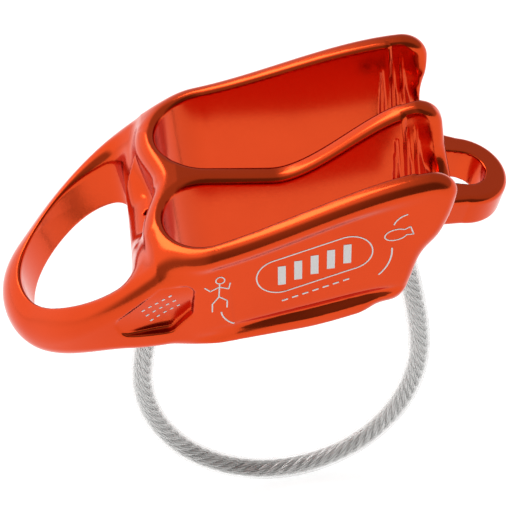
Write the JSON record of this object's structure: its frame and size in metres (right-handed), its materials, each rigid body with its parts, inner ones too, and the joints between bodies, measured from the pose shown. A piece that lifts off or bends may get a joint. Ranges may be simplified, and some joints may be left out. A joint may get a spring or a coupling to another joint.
{
  "type": "belay device",
  "caption": "Forged tubular rope brake with paired rope slots, a large attachment ring, a small release ring and a flexible sleeved wire keeper loop.",
  "frame": {"origin": "on the mid-plane between the two rope slots, half way along the slots, level with the body's underside", "axes": "+X from the large attachment ring towards the small release ring, +Y across the two slots, +Z along the slots from the keeper loop's side up to the horns"},
  "size_m": [0.0852, 0.04, 0.0892],
  "materials": {
    "anodised_body": "satin anodised, orange",
    "clear_sleeve": "clear soft plastic, glossy",
    "steel_wire": "bright drawn wire",
    "ferrule_metal": "plain crimped metal"
  },
  "bodies": {
    "body": {"body": "anodised_body", "sleeve_end_left": "clear_sleeve", "rope_end_left": "steel_wire", "ferrule_left": "ferrule_metal", "sleeve_end_right": "clear_sleeve", "rope_end_right": "steel_wire", "ferrule_right": "ferrule_metal"},
    "keeper": {"sleeve": "clear_sleeve", "core_strand": "steel_wire", "outer_strands": "steel_wire"}
  },
  "joints": [
    {"name": "keeper_swing", "type": "hinge", "parent": "body", "child": "keeper", "pos_m": [-0.0244, 0, -0.0009], "axis": [0.9981, 0, 0.0615], "range_deg": [-40, 40], "stiffness_Nm_per_rad": 0.02}
  ]
}
